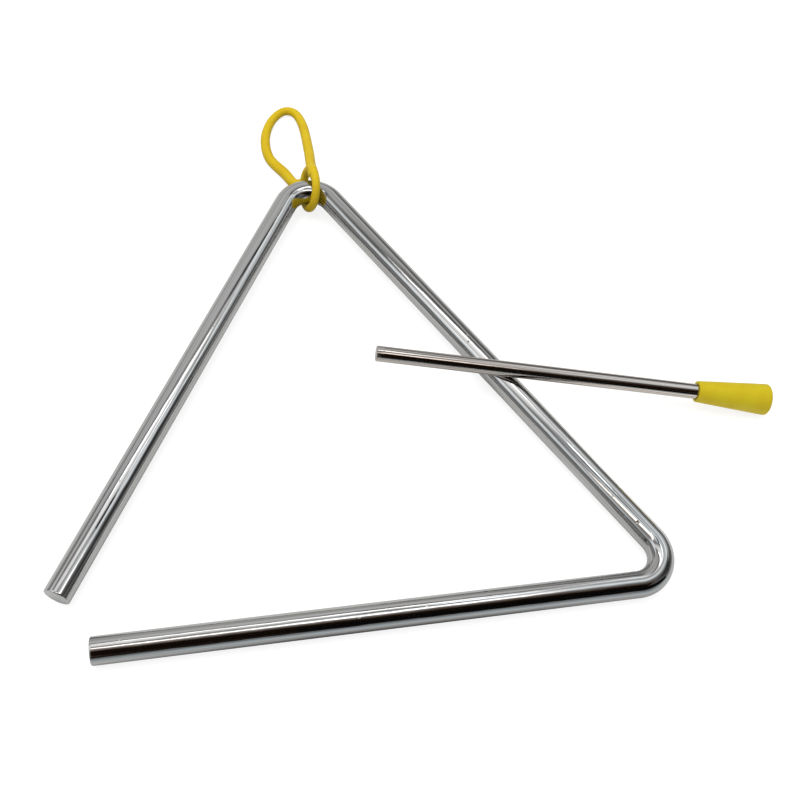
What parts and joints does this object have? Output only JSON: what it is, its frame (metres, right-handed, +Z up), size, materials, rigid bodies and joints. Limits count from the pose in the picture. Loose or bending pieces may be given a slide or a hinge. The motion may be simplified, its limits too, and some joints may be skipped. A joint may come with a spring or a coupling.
{
  "type": "triangle instrument",
  "caption": "Steel bar bent into a triangle with an open corner, with a moulded loop to hold it by and a straight beater with a tapered grip.",
  "frame": {"origin": "middle of the floor that the whole part covers, on the table that it lies on", "axes": "+X along the bottom leg from the open corner to the right corner, +Y from the bottom leg towards the apex, +Z up off the table"},
  "size_m": [0.2314, 0.2088, 0.018],
  "materials": {
    "bar_steel": "bright nickel or chrome plate with fine lengthwise draw lines",
    "holder_plastic": "soft moulded plastic, satin",
    "rod_steel": "bright plate with fine lengthwise draw lines",
    "grip_plastic": "moulded plastic, satin"
  },
  "bodies": {
    "triangle": {"triangle_bar": "bar_steel"},
    "holder": {"holder_loop": "holder_plastic"},
    "beater": {"beater_rod": "rod_steel", "beater_grip": "grip_plastic"}
  },
  "joints": [
    {"name": "holder_swing", "type": "hinge", "parent": "triangle", "child": "holder", "pos_m": [-0.02544, 0.05692, 0.00736], "axis": [1, 0, 0], "continuous": true},
    {"name": "beater_lift", "type": "slide", "parent": "triangle", "child": "beater", "axis": [0, 0, 1], "range_m": [0, 0.1]}
  ]
}
